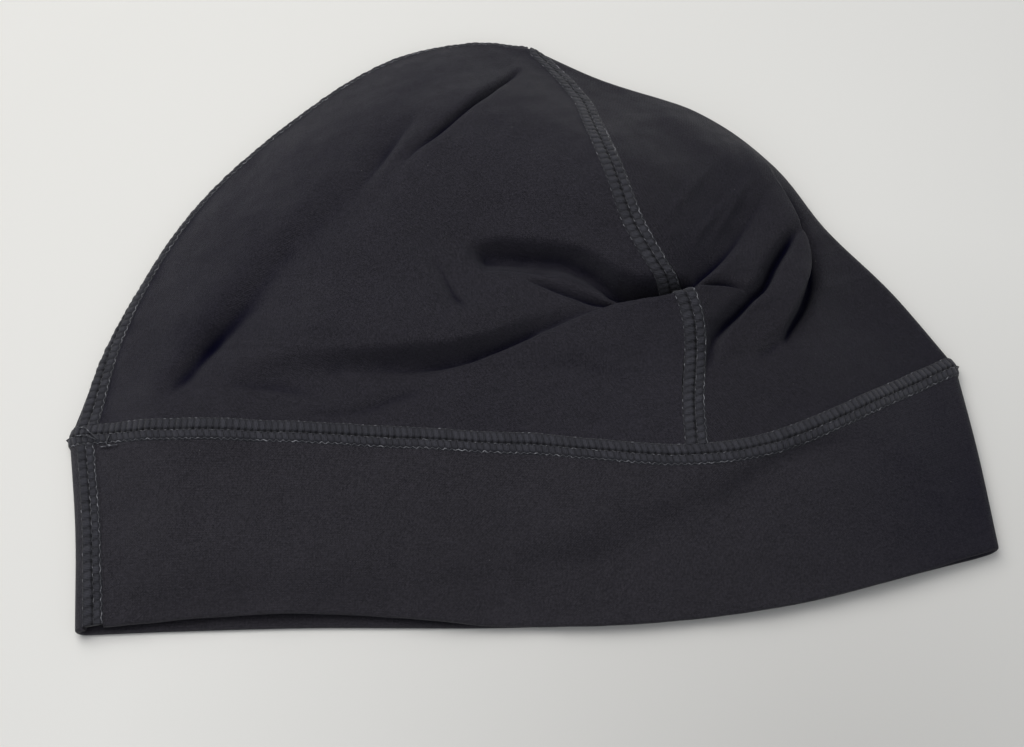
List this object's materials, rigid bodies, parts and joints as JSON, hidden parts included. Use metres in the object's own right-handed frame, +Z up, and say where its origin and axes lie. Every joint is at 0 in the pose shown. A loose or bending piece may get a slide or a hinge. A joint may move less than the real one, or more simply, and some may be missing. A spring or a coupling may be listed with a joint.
{
  "type": "knitted wool skull cap",
  "caption": "Soft dark wool skull cap lying flat and loosely folded, with a deep turned band and a panelled crown joined by flat raised seams; the head opening faces the front.",
  "frame": {"origin": "centre of the footprint, on the surface that the cap lies on", "axes": "+X across the cap from its left fold to its right fold, +Y from the head opening to the point of the crown, +Z up from the surface"},
  "size_m": [0.2231, 0.1659, 0.0247],
  "materials": {
    "crown_jersey": "fine matte wool jersey, charcoal",
    "band_jersey": "fine matte wool jersey folded double, charcoal",
    "seam_thread": "flat overlocked thread, a little glossier than the jersey"
  },
  "bodies": {
    "root": {"band": "band_jersey", "crown_panel_near": "crown_jersey", "crown_panel_front": "crown_jersey", "crown_panel_far": "crown_jersey", "seam_band_ring": "seam_thread", "seam_band_back": "seam_thread", "seam_crown_back": "seam_thread", "seam_crown_front_near": "seam_thread", "seam_crown_front_far": "seam_thread"}
  },
  "joints": []
}
